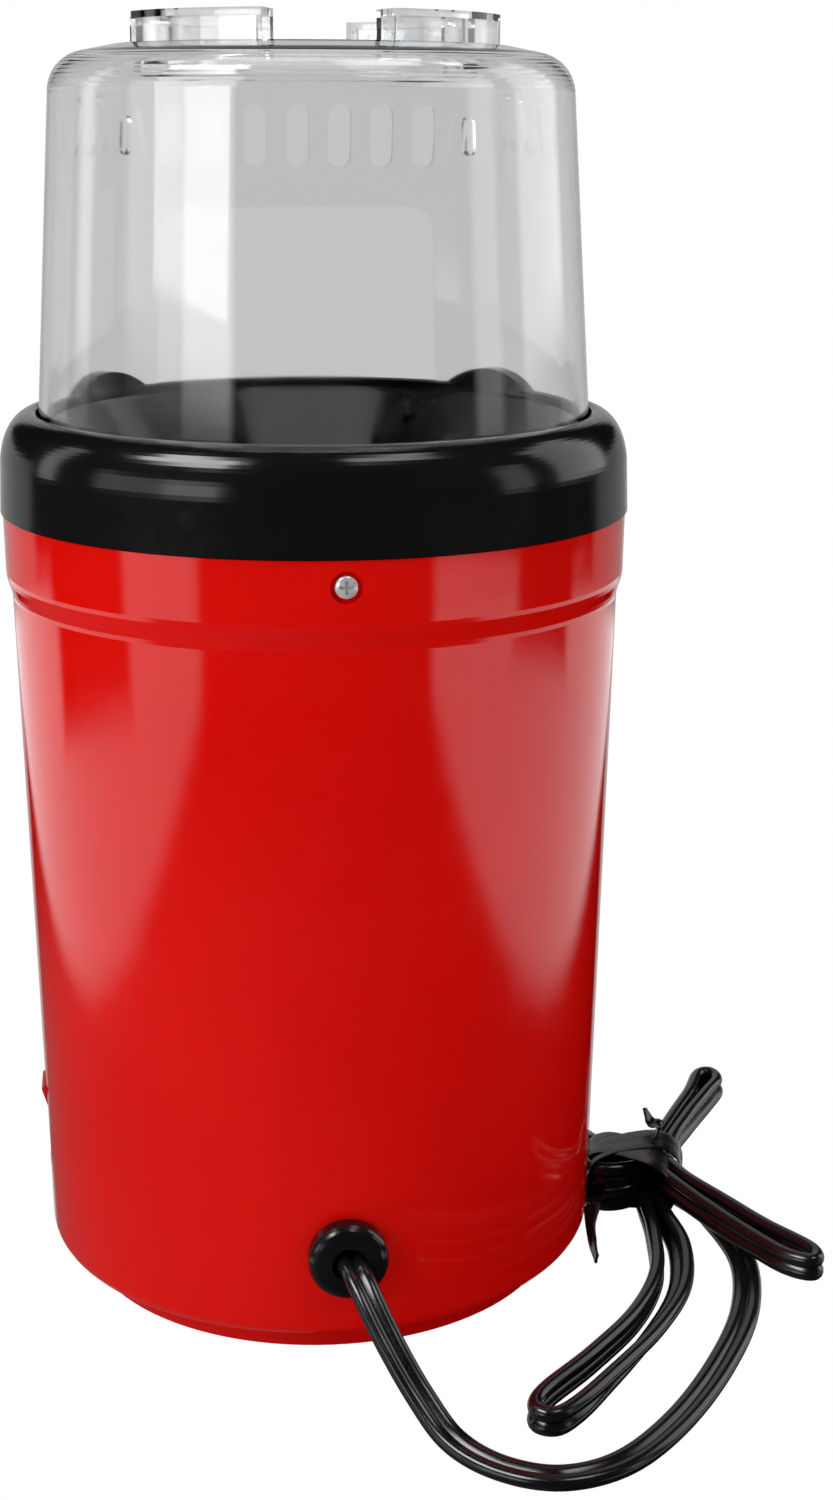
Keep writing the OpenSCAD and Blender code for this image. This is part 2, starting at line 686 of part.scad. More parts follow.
module cord_grommet() {
    outline = concat([[3.9, -5], [8.2, -5], [8.2, -2.9], [6.3, -2.9], [6.3, 0.15], [grommet_r, 0.15]],
        arc(grommet_r - 2.4, 2.4, 2.4, 2.4, 0, 90, 5), [[3.9, 4.9]]);
    color([0.04, 0.04, 0.045]) facing_back(wall_y, exit_z) turned(outline);
}

module cord_clamp() {
    color([0.88, 0.87, 0.83]) difference() {
        translate([-12.4, clamp_y, clamp_z]) cube([24.8, 7, cord_t + 2.4]);
        translate([-4, clamp_y - 1, clamp_z - 1]) cube([8, 9, cord_t + 1]);
        for (s = [-1, 1]) translate([s * 9, clamp_y + 3.5, clamp_z - 1])
            cylinder(r = 1.4, h = 12, $fn = fine);
    }
}

module clamp_screws() {
    color("silver") for (s = [-1, 1]) translate([s * 9, clamp_y + 3.5, clamp_z + cord_t + 2.45])
        screw(2.4, 1.4, 1.2, 9);
}

module cord_lead() {
    color([0.05, 0.05, 0.055]) tube(smooth(lead_points, 3), cord_w, cord_t, 10);
}

module cord_tail() {
    color([0.05, 0.05, 0.055]) tube(smooth(tail_points, 3), cord_w, cord_t, 10);
}

module cord_hank() {
    low = 8;
    high = 14;
    color([0.06, 0.06, 0.065]) {
        linear_extrude(low) polygon(ribbon(long_fold, 17));
        linear_extrude(low - 0.5) polygon(ribbon(upper_fold, 15));
        linear_extrude(high) polygon(ribbon(short_fold, 15));
        translate([0, 0, 4]) linear_extrude(high - 4.6) polygon(ribbon(side_fold, 17));
    }
}

module cord_tie() {
    w = 23;
    h = 15;
    color([0.03, 0.03, 0.03]) translate([tie_at.x, tie_at.y, 0]) rotate([0, 0, 8]) difference() {
        translate([-w / 2, -3, 0]) cube([w, 6, h]);
        translate([1.2 - w / 2, -4, 1.2]) cube([w - 2.4, 8, h - 2.4]);
    }
}

module plug_body() {
    color([0.05, 0.05, 0.055]) translate(plug_at) {
        hull() {
            translate([-9, 0, 0]) rotate([0, 90, 0]) cylinder(r = 5.2, h = 1, $fn = fine);
            for (y = [-7, 7], z = [-4, 4]) translate([6, y, z]) sphere(r = 3.6, $fn = 16);
            for (y = [-7, 7], z = [-4, 4]) translate([13.4, y, z]) rotate([0, 90, 0])
                cylinder(r = 3.6, h = 1, $fn = fine);
        }
        translate([-18, 0, 0]) rotate([0, 90, 0]) cylinder(r1 = 4, r2 = 5, h = 10, $fn = fine);
    }
}

module plug_blades() {
    color([0.80, 0.66, 0.35]) translate(plug_at) for (s = [-1, 1]) translate([14.4, s * 6.35 - 0.75, -3.2])
        difference() {
            cube([17, 1.5, 6.4]);
            translate([12.6, 3, 3.2]) rotate([90, 0, 0]) cylinder(r = 1.6, h = 6, $fn = fine);
        }
}

body_shell();
collar();
collar_screws();
lid();
popping_chamber();
air_duct();
duct_screws();
heater_boards();
heater_coil();
fan_housing();
housing_screws();
fan_impeller();
fan_nut();
motor_can();
motor_magnets();
motor_end_cap();
motor_bushes();
motor_screws();
motor_shaft();
motor_armature();
rectifier_board();
rectifier_diodes();
thermostat();
thermal_fuse();
switch_body();
switch_terminals();
switch_rocker();
base_plate();
base_screws();
rubber_feet();
cord_grommet();
cord_clamp();
clamp_screws();
inner_wires();
cord_lead();
cord_hank();
cord_tail();
cord_tie();
plug_body();
plug_blades();
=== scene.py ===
"""Looks of the hot-air popcorn maker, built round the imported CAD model. Metres, +Z up."""
import json
import math

import bmesh
import bpy
from mathutils import Matrix, Vector


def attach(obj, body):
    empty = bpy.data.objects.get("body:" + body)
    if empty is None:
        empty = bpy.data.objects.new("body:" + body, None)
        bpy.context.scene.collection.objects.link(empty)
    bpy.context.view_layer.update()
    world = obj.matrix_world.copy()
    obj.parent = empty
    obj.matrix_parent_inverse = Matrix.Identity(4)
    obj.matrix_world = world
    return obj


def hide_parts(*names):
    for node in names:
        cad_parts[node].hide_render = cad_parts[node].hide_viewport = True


MM = 0.001

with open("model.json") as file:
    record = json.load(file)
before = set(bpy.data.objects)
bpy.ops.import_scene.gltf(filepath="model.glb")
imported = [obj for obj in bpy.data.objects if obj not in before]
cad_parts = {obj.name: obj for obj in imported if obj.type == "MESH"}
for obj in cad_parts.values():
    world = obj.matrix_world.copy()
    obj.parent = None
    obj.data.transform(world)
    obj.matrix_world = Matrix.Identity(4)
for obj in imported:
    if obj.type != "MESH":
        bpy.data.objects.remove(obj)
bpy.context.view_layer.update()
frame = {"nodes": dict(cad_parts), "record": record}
NODES = frame["nodes"]
scene = bpy.context.scene
scene.view_settings.view_transform = "Standard"


# ---------------------------------------------------------------- camera

# Place in metres, turn in degrees and focal length in millimetres.
CAMERA_PLACE = (0.0449, 0.5188, 0.2732)
CAMERA_TURN = (74.46, -0.24, 172.51)
CAMERA_LENS = 54.0


def make_camera():
    data = bpy.data.cameras.new("camera")
    data.sensor_fit = "VERTICAL"
    data.sensor_height = 36.0
    data.lens = CAMERA_LENS
    data.clip_start = 0.01
    data.clip_end = 20.0
    camera = bpy.data.objects.new("camera", data)
    camera.location = CAMERA_PLACE
    camera.rotation_euler = [math.radians(a) for a in CAMERA_TURN]
    scene.collection.objects.link(camera)
    scene.camera = camera


# ---------------------------------------------------------------- materials

# Most of a noise texture's values lie between these.
NOISE_LOW = 0.3
NOISE_HIGH = 0.7
# The stretch of a texture that is the same in every direction.
EVEN = (1, 1, 1)


def new_material(name, color, roughness, metallic=0.0, **sockets):
    """A principled material; the extra names are shader sockets, with _ for a space."""
    material = bpy.data.materials.new(name)
    material.use_nodes = True
    shader = material.node_tree.nodes["Principled BSDF"]
    shader.inputs["Base Color"].default_value = (*color, 1.0)
    shader.inputs["Roughness"].default_value = roughness
    shader.inputs["Metallic"].default_value = metallic
    for key, value in sockets.items():
        shader.inputs[key.replace("_", " ")].default_value = value
    return material


def noise(material, scale, detail=3.0, stretch=EVEN):
    """A noise texture in the object's own space, with scale in waves a metre; returns its factor socket."""
    tree = material.node_tree
    place = tree.nodes.new("ShaderNodeTexCoord")
    mapping = tree.nodes.new("ShaderNodeMapping")
    mapping.inputs["Scale"].default_value = stretch
    texture = tree.nodes.new("ShaderNodeTexNoise")
    texture.inputs["Scale"].default_value = scale
    texture.inputs["Detail"].default_value = detail
    tree.links.new(place.outputs["Object"], mapping.inputs["Vector"])
    tree.links.new(mapping.outputs["Vector"], texture.inputs["Vector"])
    return texture.outputs["Fac"]


def spread(material, factor, low, high):
    """Maps the range of a noise onto low to high."""
    node = material.node_tree.nodes.new("ShaderNodeMapRange")
    node.inputs["From Min"].default_value = NOISE_LOW
    node.inputs["From Max"].default_value = NOISE_HIGH
    node.inputs["To Min"].default_value = low
    node.inputs["To Max"].default_value = high
    material.node_tree.links.new(factor, node.inputs["Value"])
    return node.outputs["Result"]


def vary_roughness(material, factor, low, high):
    tree = material.node_tree
    shader = tree.nodes["Principled BSDF"]
    tree.links.new(spread(material, factor, low, high), shader.inputs["Roughness"])


def vary_color(material, factor, dark, light):
    tree = material.node_tree
    ramp = tree.nodes.new("ShaderNodeValToRGB")
    for element, position, color in zip(ramp.color_ramp.elements, (NOISE_LOW, NOISE_HIGH), (dark, light)):
        element.position = position
        element.color = (*color, 1.0)
    tree.links.new(factor, ramp.inputs["Fac"])
    tree.links.new(ramp.outputs["Color"], tree.nodes["Principled BSDF"].inputs["Base Color"])


def add_bump(material, height, distance, strength):
    tree = material.node_tree
    bump = tree.nodes.new("ShaderNodeBump")
    bump.inputs["Strength"].default_value = strength
    bump.inputs["Distance"].default_value = distance
    tree.links.new(height, bump.inputs["Height"])
    tree.links.new(bump.outputs["Normal"], tree.nodes["Principled BSDF"].inputs["Normal"])


def glossy_plastic(name, dark, light, roughness, shine=0.5):
    """Moulded plastic: a slow waviness, faint mottling and fine wear in the gloss."""
    material = new_material(name, light, roughness, IOR=1.53, Specular_IOR_Level=shine)
    vary_color(material, noise(material, scale=18.0), dark, light)
    wear = noise(material, scale=240.0, detail=6.0)
    vary_roughness(material, wear, low=roughness * 0.85, high=roughness * 1.3)
    add_bump(material, noise(material, scale=26.0, detail=2.0), distance=0.0004, strength=0.12)
    return material


def metal(name, dark, light, roughness, grain=(1, 1, 12)):
    """Bare metal with a fine grain, whose three stretches make it finer along that axis."""
    material = new_material(name, light, roughness, metallic=1.0)
    vary_color(material, noise(material, scale=60.0, detail=4.0, stretch=grain), dark, light)
    wear = noise(material, scale=420.0, detail=4.0, stretch=grain)
    vary_roughness(material, wear, low=roughness * 0.7, high=roughness * 1.4)
    scratches = noise(material, scale=900.0, stretch=grain)
    add_bump(material, scratches, distance=0.00003, strength=0.5)
    return material


def plated(name, dark, light, roughness, metallic):
    """Bright plating on steel, partly metal and partly pale haze."""
    material = metal(name, dark, light, roughness, grain=EVEN)
    material.node_tree.nodes["Principled BSDF"].inputs["Metallic"].default_value = metallic
    return material


def matte(name, dark, light, roughness, grain=700.0, depth=0.00006):
    """A dull surface with a fine grain: the grain in waves a metre and its depth in metres."""
    material = new_material(name, light, roughness)
    vary_color(material, noise(material, scale=45.0, detail=5.0), dark, light)
    wear = noise(material, scale=160.0)
    vary_roughness(material, wear, low=roughness * 0.85, high=min(1.0, roughness * 1.15))
    add_bump(material, noise(material, scale=grain), distance=depth, strength=0.6)
    return material


def clear_plastic(name, color, roughness):
    """Clear moulded plastic, slightly wavy."""
    material = new_material(name, color, roughness, IOR=1.49, Transmission_Weight=1.0)
    vary_roughness(material, noise(material, scale=60.0, detail=4.0), low=roughness * 0.5, high=roughness * 2)
    add_bump(material, noise(material, scale=22.0, detail=2.0), distance=0.0003, strength=0.10)
    return material


# What each material slot looks like, by the function that makes it.
LOOKS = {
    glossy_plastic: {
        "red_plastic": dict(dark=(0.57, 0.002, 0.001), light=(0.62, 0.004, 0.002), roughness=0.07),
        "black_plastic": dict(dark=(0.004, 0.004, 0.005), light=(0.006, 0.006, 0.006), roughness=0.13,
                              shine=0.35),
        "switch_red": dict(dark=(0.52, 0.006, 0.005), light=(0.60, 0.01, 0.008), roughness=0.14),
        "grommet_black": dict(dark=(0.002, 0.002, 0.003), light=(0.005, 0.005, 0.006), roughness=0.17),
        "cord_black": dict(dark=(0.003, 0.003, 0.004), light=(0.007, 0.007, 0.008), roughness=0.18),
    },
    clear_plastic: {
        "clear_plastic": dict(color=(0.985, 0.99, 0.995), roughness=0.03),
    },
    metal: {
        "chamber_aluminium": dict(dark=(0.70, 0.71, 0.73), light=(0.86, 0.87, 0.89), roughness=0.24),
        "duct_steel": dict(dark=(0.50, 0.51, 0.53), light=(0.70, 0.71, 0.73), roughness=0.34),
        "heater_wire": dict(dark=(0.18, 0.16, 0.15), light=(0.46, 0.42, 0.39), roughness=0.45),
        "bronze": dict(dark=(0.42, 0.28, 0.13), light=(0.62, 0.45, 0.24), roughness=0.4),
        "copper_winding": dict(dark=(0.42, 0.17, 0.07), light=(0.72, 0.34, 0.15), roughness=0.35,
                               grain=(1, 1, 30)),
        "terminal_brass": dict(dark=(0.66, 0.50, 0.22), light=(0.84, 0.68, 0.36), roughness=0.24),
    },
    plated: {
        "screw_steel": dict(dark=(0.80, 0.80, 0.82), light=(0.97, 0.97, 0.98), roughness=0.20, metallic=0.6),
    },
    matte: {
        "mica": dict(dark=(0.46, 0.36, 0.22), light=(0.74, 0.64, 0.45), roughness=0.42),
        "pale_plastic": dict(dark=(0.66, 0.63, 0.56), light=(0.78, 0.76, 0.70), roughness=0.45),
        "fan_plastic": dict(dark=(0.03, 0.03, 0.033), light=(0.06, 0.06, 0.065), roughness=0.38),
        "magnet": dict(dark=(0.06, 0.06, 0.065), light=(0.12, 0.12, 0.125), roughness=0.55),
        "circuit_board": dict(dark=(0.06, 0.20, 0.09), light=(0.12, 0.33, 0.16), roughness=0.35),
        "diode_epoxy": dict(dark=(0.015, 0.015, 0.016), light=(0.035, 0.035, 0.036), roughness=0.4),
        "thermostat_ceramic": dict(dark=(0.60, 0.55, 0.44), light=(0.76, 0.72, 0.62), roughness=0.5),
        "foot_rubber": dict(dark=(0.02, 0.02, 0.02), light=(0.045, 0.045, 0.045), roughness=0.75),
        "wire_sleeve": dict(dark=(0.58, 0.53, 0.44), light=(0.80, 0.76, 0.68), roughness=0.75,
                            grain=1800.0, depth=0.0002),
        "tie_black": dict(dark=(0.002, 0.001, 0.002), light=(0.007, 0.004, 0.006), roughness=0.26,
                          grain=150.0, depth=0.0004),
    },
}


def make_materials():
    return {name: make(name, **look) for make, looks in LOOKS.items() for name, look in looks.items()}


def dress_nodes(materials):
    slots = {part["node"]: part["material_slot"] for part in frame["record"]["subparts"]}
    for name, node in NODES.items():
        node.data.materials.clear()
        node.data.materials.append(materials[slots[name]])
        smooth_by_angle(node, degrees=30)


def smooth_by_angle(piece, degrees):
    """Shades smoothly, except across edges sharper than the angle."""
    mesh = piece.data
    mesh.polygons.foreach_set("use_smooth", [True] * len(mesh.polygons))
    limit = math.cos(math.radians(degrees))
    test = bmesh.new()
    test.from_mesh(mesh)
    sharp = []
    for edge in test.edges:
        normals = [face.normal for face in edge.link_faces]
        sharp.append(len(normals) != 2 or normals[0].dot(normals[1]) < limit)
    test.free()
    if "sharp_edge" not in mesh.attributes:
        mesh.attributes.new("sharp_edge", "BOOLEAN", "EDGE")
    mesh.attributes["sharp_edge"].data.foreach_set("value", sharp)
    mesh.update()


# ---------------------------------------------------------------- cord

# The flat twin cord, in millimetres: its nominal width, a little under the width drawn, the radius of a
# core, how far a core's middle is from the cord's, and half the thickness in the groove between them.
CORE_R = 1.78
CORE_APART = 1.7
GROOVE = 0.82
# The round part of a core's outline, in degrees.
CORE_ARC = range(-126, 127, 21)

# Points of the cord's route in millimetres, and its roll in degrees: 0 lies flat, 90 stands on edge.
LEAD = [
    (0, 58, 30, 0), (0, 66, 30, 0), (-2, 76, 28, 0), (-7, 86, 19, 0), (-13, 95, 10, 0),
    (-19, 103, 4, 0), (-28, 111, 2, 0), (-40, 116, 2, 0), (-54, 112, 2, 0), (-69, 98, 2, 0),
    (-84, 77, 2, 0), (-96, 54, 2, 0), (-102, 30, 2, 0), (-99, 10, 3, 30), (-92, -10, 4, 90)]
UPPER_FOLD = [
    (-97, -28, 4, 90), (-106.5, -45, 4, 78), (-116, -60, 4, 74), (-121.5, -69, 4, 84),
    (-121, -74.5, 4, 90), (-117, -73.5, 4, 90), (-111.5, -62, 4, 90), (-102.5, -46, 4, 90),
    (-93, -28, 4, 90), (-88, -10, 4, 90)]
LONG_FOLD = [
    (-87, 8, 4, 84), (-87, 26, 4, 54), (-82, 46, 4, 44), (-71, 65, 4, 50), (-57, 83, 4, 72),
    (-48, 93.5, 4, 86), (-42, 98, 4, 90), (-38, 95.5, 4, 90), (-41, 88.5, 4, 90), (-54.5, 74.5, 4, 90),
    (-68.5, 57.5, 4, 90), (-78, 39, 4, 90), (-82, 19, 4, 90), (-83.5, 4, 4, 90), (-84, -10, 4, 90)]
SHORT_FOLD = [
    (-80, -15, 4, 90), (-74, -14.5, 4, 90), (-70, -9, 4, 90), (-74, -3.5, 4, 90), (-81, -3, 5, 90),
    (-86, -8, 7, 90), (-83, -14, 9, 90), (-77, -15, 10.4, 90), (-71, -12, 10.4, 90), (-70, -7, 10.4, 90),
    (-74, -3.5, 10.4, 90), (-82, -4, 10.4, 90), (-90, -8, 10.4, 90)]
SIDE_FOLD = [
    (-94, 4, 10.4, 90), (-101, 16, 9.5, 90), (-108, 28, 8.6, 90), (-116, 40, 8, 90), (-115, 46, 8, 90),
    (-109, 42, 8, 90), (-102, 30, 8.6, 90), (-95, 16, 9.5, 90), (-89, 2, 10.4, 90), (-86, -10, 10.4, 90)]
TAIL = [
    (-83, -22, 8, 70), (-78, -38, 4, 30), (-73, -54, 2, 0), (-68, -68, 2, 0), (-62, -81, 3, 0),
    (-56, -90, 6, 0), (-48, -94, 8, 0)]


# The wound part of the tie: its middle and its reach across and up in millimetres, its turns, the points of
# each turn, the angle at which it starts, and the power that squares its round turns, lower being squarer.
TIE_MIDDLE = (-82.8, -9.5, 8.9)
TIE_REACH = (12.6, 7.2)
TIE_TURNS = 2
TIE_STEPS = 12
TIE_START = -40
TIE_SQUARENESS = 0.75
# The slant of the turns across the folds in degrees, their growth in size from start to end, and the
# crumpled strip's width against its full width.
TIE_SLANT = 14
TIE_GROWTH = 0.05
TIE_WIDTH = 0.86
# What varies along the turns, by how much either way and through how many radians: the slant in degrees,
# a shift along the bundle in millimetres, and the width.
SLANT_SWING = (26, 2.4 * math.pi)
SHIFT_SWING = (3.4, 5)
WIDTH_SWING = (0.14, 9)
# The strip's outline across it: half of it, in (wide, thick) millimetres.
TIE_HALF_SECTION = [(-5.8, -0.2), (-4.6, -0.4), (-1.4, -0.3), (1.4, -0.3), (4.6, -0.4), (5.8, -0.2)]
# The tie's two ends: place in millimetres, roll in degrees and width against its full width.
TIE_FOOT = [
    (-66.5, 24, 1.6, 180, 0.22), (-67, 17, 2.0, 180, 0.22), (-68, 9, 3.6, 170, 0.24), (-70, 2, 6.5, 140, 0.5)]
TIE_TIP = [(-90.5, -14, 16.8, 84, 0.62), (-89, -16.5, 19.2, 78, 0.36), (-88, -19, 21.6, 74, 0.1)]


def smooth_route(points, steps):
    """A smooth curve through points of any size, with the given steps between each pair."""
    line = []
    last = len(points) - 1
    for i in range(last):
        a, b, c, d = (Vector(points[min(max(k, 0), last)]) for k in (i - 1, i, i + 1, i + 2))
        for k in range(steps):
            t = k / steps
            line.append(0.5 * (2 * b + (c - a) * t + (2 * a - 5 * b + 4 * c - d) * t ** 2
                               + (3 * b - a - 3 * c + d) * t ** 3))
    line.append(Vector(points[last]))
    return line


def twin_section():
    """Outline of a flat two-core cord: two round lobes with a groove between them, in millimetres."""
    half = [(CORE_APART + CORE_R * math.cos(math.radians(a)), CORE_R * math.sin(math.radians(a)))
            for a in CORE_ARC]
    return half + [(0.0, GROOVE)] + [(-x, -y) for x, y in half] + [(0.0, -GROOVE)]


def heading(centres, i):
    """The direction in which a line of centres runs at one of them."""
    return (centres[min(i + 1, len(centres) - 1)] - centres[max(i - 1, 0)]).normalized()


def rolled(centres, rolls):
    """The direction of the section's wide side at each centre: level at 0 degrees, upright at 90."""
    sides = []
    for i, roll in enumerate(rolls):
        across = Vector((0, 0, 1)).cross(heading(centres, i)).normalized()
        up = heading(centres, i).cross(across)
        sides.append(across * math.cos(math.radians(roll)) + up * math.sin(math.radians(roll)))
    return sides


def sweep(name, centres, sides, section, sizes=None):
    """A closed bar along the centres. Its section is in (wide, thick) millimetres; sizes scale its width."""
    mesh = bmesh.new()
    rings = []
    for i, centre in enumerate(centres):
        thick = heading(centres, i).cross(sides[i]).normalized()
        wide = thick.cross(heading(centres, i))
        wide *= sizes[i] if sizes else 1
        rings.append([mesh.verts.new(centre + wide * (x * MM) + thick * (y * MM)) for x, y in section])
    count = len(section)
    for a, b in zip(rings, rings[1:]):
        for k in range(count):
            mesh.faces.new((a[k], a[(k + 1) % count], b[(k + 1) % count], b[k]))
    mesh.faces.new(rings[0][::-1])
    mesh.faces.new(rings[-1])
    return finish_mesh(name, mesh)


def finish_mesh(name, mesh):
    """Turns a bmesh into an object of the scene."""
    bmesh.ops.recalc_face_normals(mesh, faces=mesh.faces)
    data = bpy.data.meshes.new(name)
    mesh.to_mesh(data)
    mesh.free()
    piece = bpy.data.objects.new(name, data)
    scene.collection.objects.link(piece)
    return piece


def squared(value):
    """A sine or cosine with its middle values pushed outwards, which squares a round turn."""
    return math.copysign(abs(value) ** TIE_SQUARENESS, value)


def swing(amount, radians, part):
    """How far a swing of this amount is from its middle, at this part of the way."""
    return amount * math.sin(radians * part)


def wound_tie():
    """Points of the tie's wound part, each a place, a roll and a width."""
    points = []
    for step in range(TIE_TURNS * TIE_STEPS + 1):
        part = step / (TIE_TURNS * TIE_STEPS)
        turn = math.radians(TIE_START + 360 / TIE_STEPS * step)
        slant = math.radians(TIE_SLANT + swing(*SLANT_SWING, part))
        grow = 1 + TIE_GROWTH * part
        out = TIE_REACH[0] * grow * squared(math.cos(turn))
        rise = TIE_REACH[1] * grow * squared(math.sin(turn))
        shift = swing(*SHIFT_SWING, part)
        points.append((TIE_MIDDLE[0] + out * math.cos(slant) + shift * math.sin(slant),
                       TIE_MIDDLE[1] - out * math.sin(slant) + shift * math.cos(slant),
                       TIE_MIDDLE[2] + rise, 90, TIE_WIDTH + swing(*WIDTH_SWING, part)))
    return points


def make_tie(materials):
    """A shiny flat strip wound round the folds, one end standing up and the other hanging by the body."""
    line = smooth_route(TIE_FOOT + wound_tie() + TIE_TIP, steps=4)
    centres = [Vector(point[:3]) * MM for point in line]
    along = Vector((math.sin(math.radians(TIE_SLANT)), math.cos(math.radians(TIE_SLANT)), 0))
    sides = []
    for i, point in enumerate(line):
        ahead = heading(centres, i)
        flat = (along - ahead * along.dot(ahead)).normalized()
        sides.append(Matrix.Rotation(math.radians(point[3] - 90), 3, ahead) @ flat)
    section = TIE_HALF_SECTION + [(-x, -y) for x, y in TIE_HALF_SECTION]
    tie = sweep("twist_tie", centres, sides, section, [point[4] for point in line])
    tie.data.materials.append(materials["tie_black"])
    smooth_by_angle(tie, degrees=50)
    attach(tie, "housing")
    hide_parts("cord_tie")
    return tie


def make_cord(materials):
    """The mains cord from the grommet through its folds to the plug, with the tie round the folds."""
    tie = make_tie(materials)
    line = smooth_route(LEAD + UPPER_FOLD + LONG_FOLD + SHORT_FOLD + SIDE_FOLD + TAIL, steps=8)
    centres = [Vector(point[:3]) * MM for point in line]
    sides = rolled(centres, [point[3] for point in line])
    cord = sweep("mains_cord", centres, sides, twin_section())
    cord.data.materials.append(materials["cord_black"])
    smooth_by_angle(cord, degrees=40)
    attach(cord, "housing")
    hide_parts("cord_lead", "cord_hank", "cord_tail")


# ---------------------------------------------------------------- stage

# Brightness of the plain backdrop: to the camera, through clear plastic, and as a light that fills in.
WHITE = 1.0
THROUGH = 0.60
FILL = 0.30

# White panels of the studio, as gloss shows them: turn from the camera's side in degrees (low, high), rise
# above the horizon in degrees (low, high), and brightness. The lower edges of the first list curve up to
# either side of the scallop's middle, by its rise for each degree squared.
SCALLOP_MIDDLE = 97.0
SCALLOP_RISE = 0.0022
LOW_PANELS = [
    ((-165, -43), (-23, -16.5), 1.2), ((-73, -43), (-23, -9.8), 1.2), ((-165, -112), (-23, -12), 1.2),
    ((43, 165), (-23, -14.8), 1.2), ((43, 78), (-23, -12.2), 1.2), ((108, 165), (-23, -12.2), 1.2)]
HIGH_PANELS = [
    ((-56, -34), (0, 18), 3.2), ((-84, -56), (0, 18), 1.3), ((-116, -106), (-2, 34), 1.6),
    ((70, 84), (-2, 26), 1.2), ((97, 130), (-2, 40), 1.6), ((-200, -158), (-40, 88), 0.5),
    ((158, 200), (-40, 88), 0.5), ((-165, -122), (-14, 4), 0.45), ((122, 165), (-14, 4), 0.35)]
# Small bright panels high up, left out of what is seen through the lid.
TOP_PANELS = [((-84, -40), (42, 62), 13.0), ((22, 84), (60, 74), 5.0)]
# Half the width of a panel's soft edge, in degrees: at its sides, and above and below in each list.
SIDE_EDGE = 2.5
LOW_EDGE = 0.8
HIGH_EDGE = 2.0
TOP_EDGE = 3.0
# The camera's side, in degrees from the back of the object.
CAMERA_SIDE = 5.0

# The floor's brightness in gloss. It fades in downwards and from one side to the other, in degrees.
FLOOR_GLOSS = 0.13
FLOOR_RISE = (-17, -24)
FLOOR_TURN = (60, -110)

# Brightness of the studio's far sides as seen through clear plastic. It fades in sideways and upwards.
CLEAR_GLOSS = 0.6
CLEAR_TURN = (70, 110)
CLEAR_RISE = (-40, -20)

# Where the lamps point, in metres.
LAMPS_AIM = (0, 0, 0.13)


def calculate(tree, operation, *values):
    """A math node; each value is a socket or a number."""
    node = tree.nodes.new("ShaderNodeMath")
    node.operation = operation
    for socket, value in zip(node.inputs, values):
        if isinstance(value, (int, float)):
            socket.default_value = value
        else:
            tree.links.new(value, socket)
    return node.outputs[0]


def product(tree, first, *others):
    """The product of sockets and numbers."""
    for other in others:
        first = calculate(tree, "MULTIPLY", first, other)
    return first


def ease(tree, value, start, end):
    """0 at start and 1 at end, smooth in between."""
    node = tree.nodes.new("ShaderNodeMapRange")
    node.interpolation_type = "SMOOTHSTEP"
    node.inputs["From Min"].default_value = start
    node.inputs["From Max"].default_value = end
    tree.links.new(value, node.inputs["Value"])
    return node.outputs["Result"]


def window(tree, lower, upper, limits, edge):
    """1 where lower is over the first limit and upper is under the second, with smooth edges."""
    low, high = limits
    over = ease(tree, lower, low - edge, low + edge)
    under = ease(tree, upper, high + edge, high - edge)
    return product(tree, over, under)


def ray(tree, fact):
    """A fact about the ray, such as Is Camera Ray or Glossy Depth."""
    return tree.nodes.new("ShaderNodeLightPath").outputs[fact]


def mirrored(tree):
    """1 for a ray that has bounced off gloss and off nothing dull, 0 for any other."""
    return product(tree, calculate(tree, "GREATER_THAN", ray(tree, "Glossy Depth"), 0.5),
                   calculate(tree, "LESS_THAN", ray(tree, "Diffuse Depth"), 0.5))


def backdrop(tree):
    """Brightness of the plain backdrop for the ray that meets it."""
    through = product(tree, ray(tree, "Is Transmission Ray"), THROUGH - FILL)
    seen = product(tree, ray(tree, "Is Camera Ray"), WHITE - FILL)
    return calculate(tree, "ADD", calculate(tree, "ADD", seen, through), FILL)


def make_stage():
    """A plain floor, white to look at. Gloss on the object shows the studio round it instead of the floor."""
    bpy.ops.mesh.primitive_plane_add(size=6.0, location=(0, 0, 0))
    floor = bpy.context.object
    floor.name = "floor"
    material = matte("floor_paper", (0.90, 0.90, 0.90), (0.92, 0.92, 0.92), roughness=0.7, grain=200.0)
    tree = material.node_tree
    clear = tree.nodes.new("ShaderNodeBsdfTransparent")
    glow = tree.nodes.new("ShaderNodeEmission")
    tree.links.new(backdrop(tree), glow.inputs["Strength"])
    looked_at = calculate(tree, "MAXIMUM", ray(tree, "Is Camera Ray"), ray(tree, "Is Transmission Ray"))
    surface = tree.nodes["Principled BSDF"].outputs[0]
    for factor, other in ((looked_at, glow), (mirrored(tree), clear)):
        mix = tree.nodes.new("ShaderNodeMixShader")
        tree.links.new(factor, mix.inputs["Fac"])
        tree.links.new(surface, mix.inputs[1])
        tree.links.new(other.outputs[0], mix.inputs[2])
        surface = mix.outputs[0]
    tree.links.new(surface, tree.nodes["Material Output"].inputs["Surface"])
    floor.data.materials.append(material)


def studio_directions(tree):
    """Turn from the camera's side and rise above the horizon of each direction, in degrees."""
    place = tree.nodes.new("ShaderNodeTexCoord")
    split = tree.nodes.new("ShaderNodeSeparateXYZ")
    tree.links.new(place.outputs["Generated"], split.inputs[0])
    x, y, z = split.outputs
    turn = product(tree, calculate(tree, "ARCTAN2", x, y), -180 / math.pi)
    rise = product(tree, calculate(tree, "ARCSINE", z), 180 / math.pi)
    return calculate(tree, "ADD", turn, CAMERA_SIDE), rise


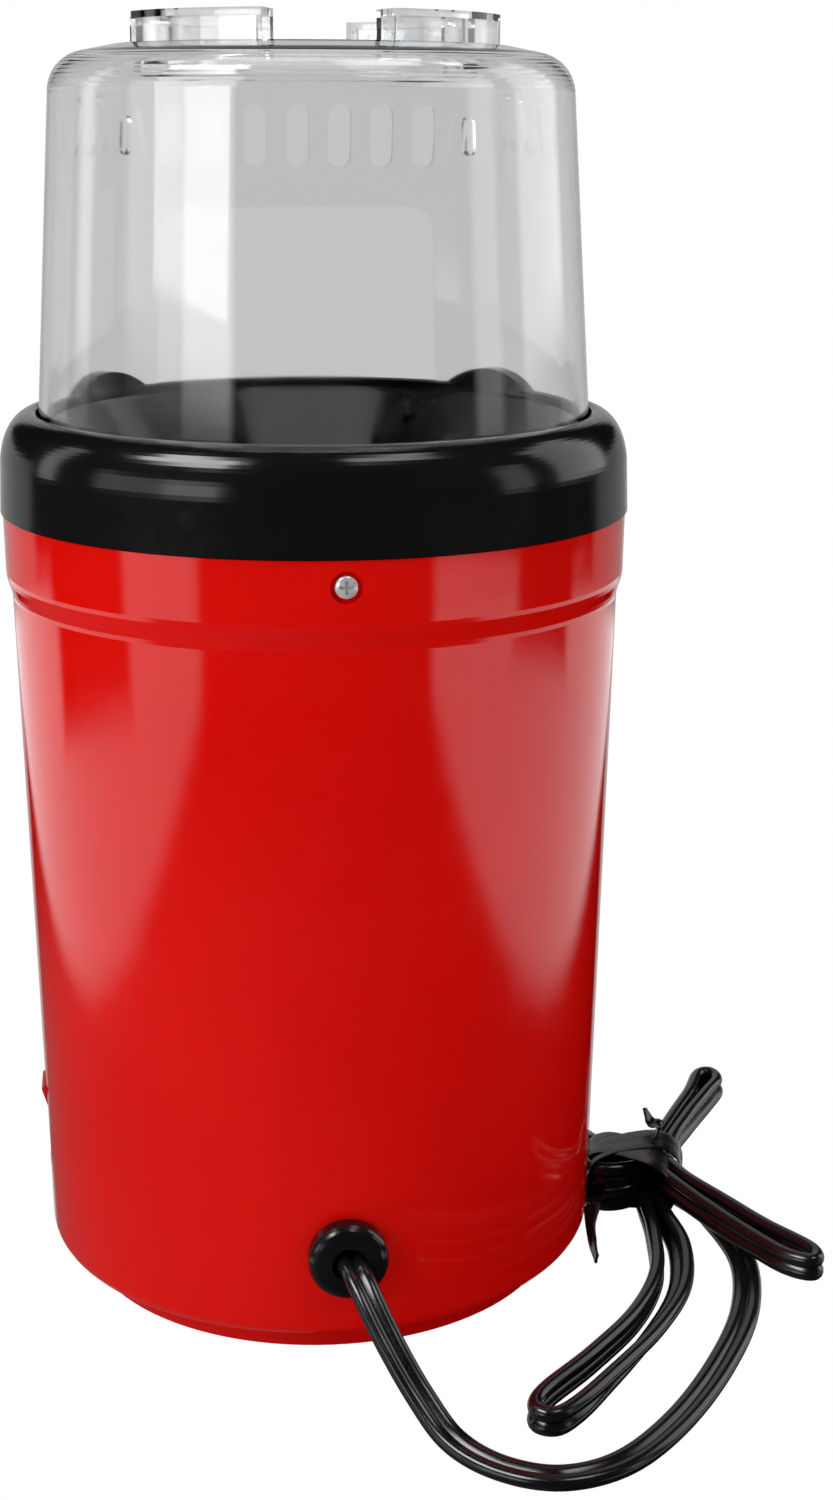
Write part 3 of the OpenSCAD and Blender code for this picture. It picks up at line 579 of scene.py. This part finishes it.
def studio_light(tree):
    """Brightness that gloss sees in each direction."""
    turn, rise = studio_directions(tree)
    aside = calculate(tree, "ABSOLUTE", turn)
    away = calculate(tree, "SUBTRACT", aside, SCALLOP_MIDDLE)
    scalloped = calculate(tree, "SUBTRACT", rise, product(tree, away, away, SCALLOP_RISE))
    inside = calculate(tree, "GREATER_THAN", ray(tree, "Transmission Depth"), 0.5)
    outside = calculate(tree, "SUBTRACT", 1.0, inside)
    floor = product(tree, ease(tree, rise, *FLOOR_RISE), FLOOR_GLOSS, ease(tree, turn, *FLOOR_TURN))
    haze = product(tree, ease(tree, aside, *CLEAR_TURN), inside, CLEAR_GLOSS, ease(tree, rise, *CLEAR_RISE))
    total = calculate(tree, "MAXIMUM", floor, haze)
    for panels, lower, edge, shown in ((LOW_PANELS, scalloped, LOW_EDGE, 1.0),
                                       (HIGH_PANELS, rise, HIGH_EDGE, 1.0),
                                       (TOP_PANELS, rise, TOP_EDGE, outside)):
        for turns, rises, bright in panels:
            panel = product(tree, window(tree, turn, turn, turns, SIDE_EDGE),
                            window(tree, lower, rise, rises, edge), shown, bright)
            total = calculate(tree, "MAXIMUM", total, panel)
    return total


def make_world():
    """The studio's panels for what gloss shows, and the plain backdrop for every other ray."""
    world = bpy.data.worlds.new("studio")
    world.use_nodes = True
    tree = world.node_tree
    background = tree.nodes["Background"]
    background.inputs["Color"].default_value = (1, 1, 1, 1)
    glossy = mirrored(tree)
    gloss = product(tree, studio_light(tree), glossy)
    rest = product(tree, backdrop(tree), calculate(tree, "SUBTRACT", 1.0, glossy))
    tree.links.new(calculate(tree, "ADD", gloss, rest), background.inputs["Strength"])
    scene.world = world


def softbox(name, place, size, power):
    """A square lamp aimed at the middle of the object, and not seen in gloss."""
    data = bpy.data.lights.new(name, "AREA")
    data.size = size
    data.energy = power
    light = bpy.data.objects.new(name, data)
    light.location = place
    light.rotation_euler = (Vector(LAMPS_AIM) - Vector(place)).to_track_quat("-Z", "Y").to_euler()
    light.visible_glossy = False
    scene.collection.objects.link(light)


def make_lights():
    softbox("left_box", (0.85, 0.55, 0.60), size=0.7, power=8)
    softbox("right_box", (-0.85, 0.45, 0.75), size=0.7, power=3.5)
    softbox("top_box", (0, 0.1, 1.3), size=0.9, power=6)


# ---------------------------------------------------------------- build

make_camera()
materials = make_materials()
dress_nodes(materials)
make_cord(materials)
make_stage()
make_world()
make_lights()
